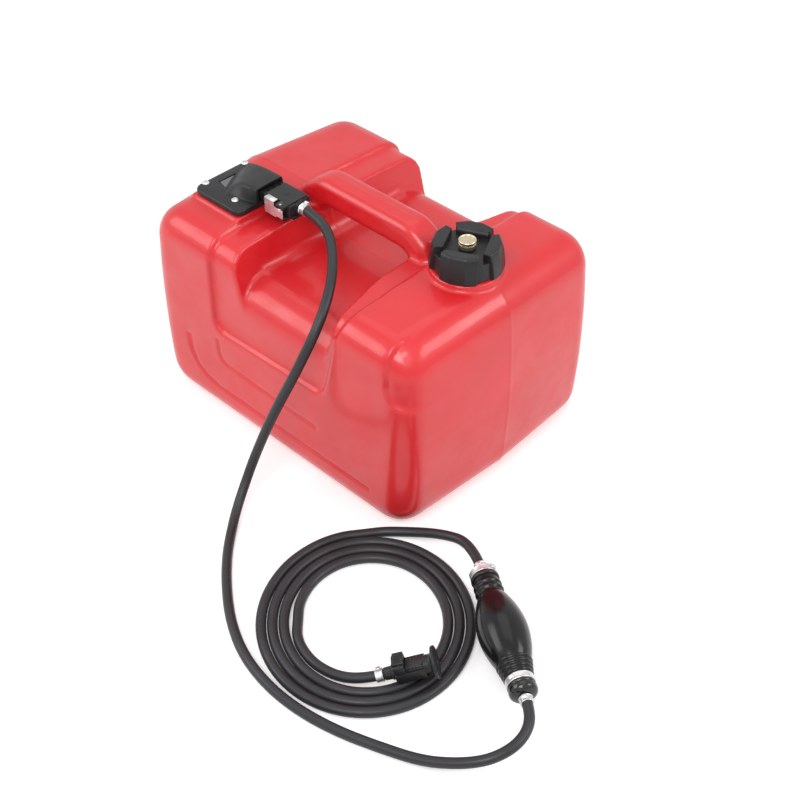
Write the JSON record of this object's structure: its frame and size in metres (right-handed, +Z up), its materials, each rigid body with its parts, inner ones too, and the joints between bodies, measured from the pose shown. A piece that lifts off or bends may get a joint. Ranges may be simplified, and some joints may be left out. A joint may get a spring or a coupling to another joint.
{
  "type": "portable outboard fuel tank",
  "caption": "Portable outboard fuel tank: red moulded can with carry handle, vented screw cap, sender with hose outlet, and hose with primer bulb and engine connector.",
  "frame": {"origin": "middle of the tank's foot, on the ground", "axes": "+X along the tank towards the filler cap, -Y its front face, +Z up"},
  "size_m": [0.5931, 0.471, 0.2535],
  "materials": {
    "tank_red": "satin blow-moulded polyethylene",
    "black_plastic": "moulded",
    "gloss_black": "polished moulded",
    "hose_rubber": "smooth",
    "bulb_rubber": "shiny",
    "seal_rubber": "matt",
    "zinc_steel": "zinc plated",
    "brass": "turned",
    "sight_glass": "clear lens",
    "dial_white": "plain",
    "float_foam": "closed-cell foam"
  },
  "bodies": {
    "tank": {"tank_shell": "tank_red", "filler_neck": "tank_red", "gauge_gasket": "seal_rubber", "gauge_housing": "black_plastic", "flange_screws": "zinc_steel", "gauge_lens": "sight_glass", "gauge_dial": "dial_white", "pickup_tube": "zinc_steel", "pickup_strainer": "black_plastic", "float_bracket": "zinc_steel", "float_pin": "zinc_steel", "outlet_nipple": "brass", "joint_seal": "seal_rubber", "connector_body": "black_plastic", "latch_pin": "zinc_steel", "connector_barb": "brass", "tank_hose": "hose_rubber", "hose_coil": "hose_rubber", "engine_hose": "hose_rubber", "connector_lead": "hose_rubber", "inlet_fitting": "gloss_black", "outlet_fitting": "gloss_black", "primer_bulb": "bulb_rubber", "bulb_bands": "zinc_steel", "tank_hose_clamps": "zinc_steel", "engine_hose_clamps": "zinc_steel", "engine_connector": "black_plastic", "lever_pin": "zinc_steel", "engine_seal": "seal_rubber"},
    "cap_gasket_ring": {"cap_seal": "seal_rubber"},
    "cap": {"filler_cap": "black_plastic"},
    "vent_washer": {"vent_seal": "seal_rubber"},
    "vent": {"vent_screw": "brass"},
    "float": {"float_arm": "zinc_steel", "fuel_float": "float_foam"},
    "pointer": {"gauge_pointer": "gloss_black"},
    "latch": {"connector_latch": "zinc_steel"},
    "lever": {"engine_lever": "black_plastic"},
    "inlet_valve": {"inlet_ball": "zinc_steel"},
    "outlet_valve": {"outlet_ball": "zinc_steel"}
  },
  "joints": [
    {"name": "cap_lift", "type": "slide", "parent": "tank", "child": "cap_gasket_ring", "axis": [0, 0, 1], "range_m": [0, 0.009]},
    {"name": "cap_turn", "type": "hinge", "parent": "cap_gasket_ring", "child": "cap", "pos_m": [0.124, 0, 0.24], "axis": [0, 0, 1], "range_deg": [0, 720]},
    {"name": "vent_lift", "type": "slide", "parent": "cap", "child": "vent_washer", "axis": [0, 0, 1], "range_m": [0, 0.00225]},
    {"name": "vent_turn", "type": "hinge", "parent": "vent_washer", "child": "vent", "pos_m": [0.124, 0, 0.248], "axis": [0, 0, 1], "range_deg": [0, 540]},
    {"name": "float_swing", "type": "hinge", "parent": "tank", "child": "float", "pos_m": [-0.132, -0.054, 0.1257], "axis": [1, 0, 0], "range_deg": [0, 110]},
    {"name": "pointer_turn", "type": "hinge", "parent": "tank", "child": "pointer", "pos_m": [-0.13, -0.054, 0.221], "axis": [0, 0, 1], "range_deg": [0, 80]},
    {"name": "latch_swing", "type": "hinge", "parent": "tank", "child": "latch", "pos_m": [-0.0514, -0.0652, 0.2324], "axis": [0, 0, 1], "range_deg": [0, 12], "stiffness_Nm_per_rad": 0.05, "springref_deg": -11.46},
    {"name": "lever_press", "type": "hinge", "parent": "tank", "child": "lever", "pos_m": [0.2836, -0.25335, 0.02946], "axis": [0.7314, -0.682, 0], "range_deg": [0, 6], "stiffness_Nm_per_rad": 0.05, "springref_deg": -11.46},
    {"name": "inlet_check", "type": "slide", "parent": "tank", "child": "inlet_valve", "axis": [-0.829, 0.5592, 0], "range_m": [0, 0.0025]},
    {"name": "outlet_check", "type": "slide", "parent": "tank", "child": "outlet_valve", "axis": [-0.829, 0.5592, 0], "range_m": [0, 0.0025]}
  ],
  "couplings": [
    {"joint": "cap_lift", "follows": "cap_turn", "m_per_rad": 0.000716},
    {"joint": "vent_lift", "follows": "vent_turn", "m_per_rad": 0.0002387},
    {"joint": "pointer_turn", "follows": "float_swing", "ratio": 0.7272}
  ]
}
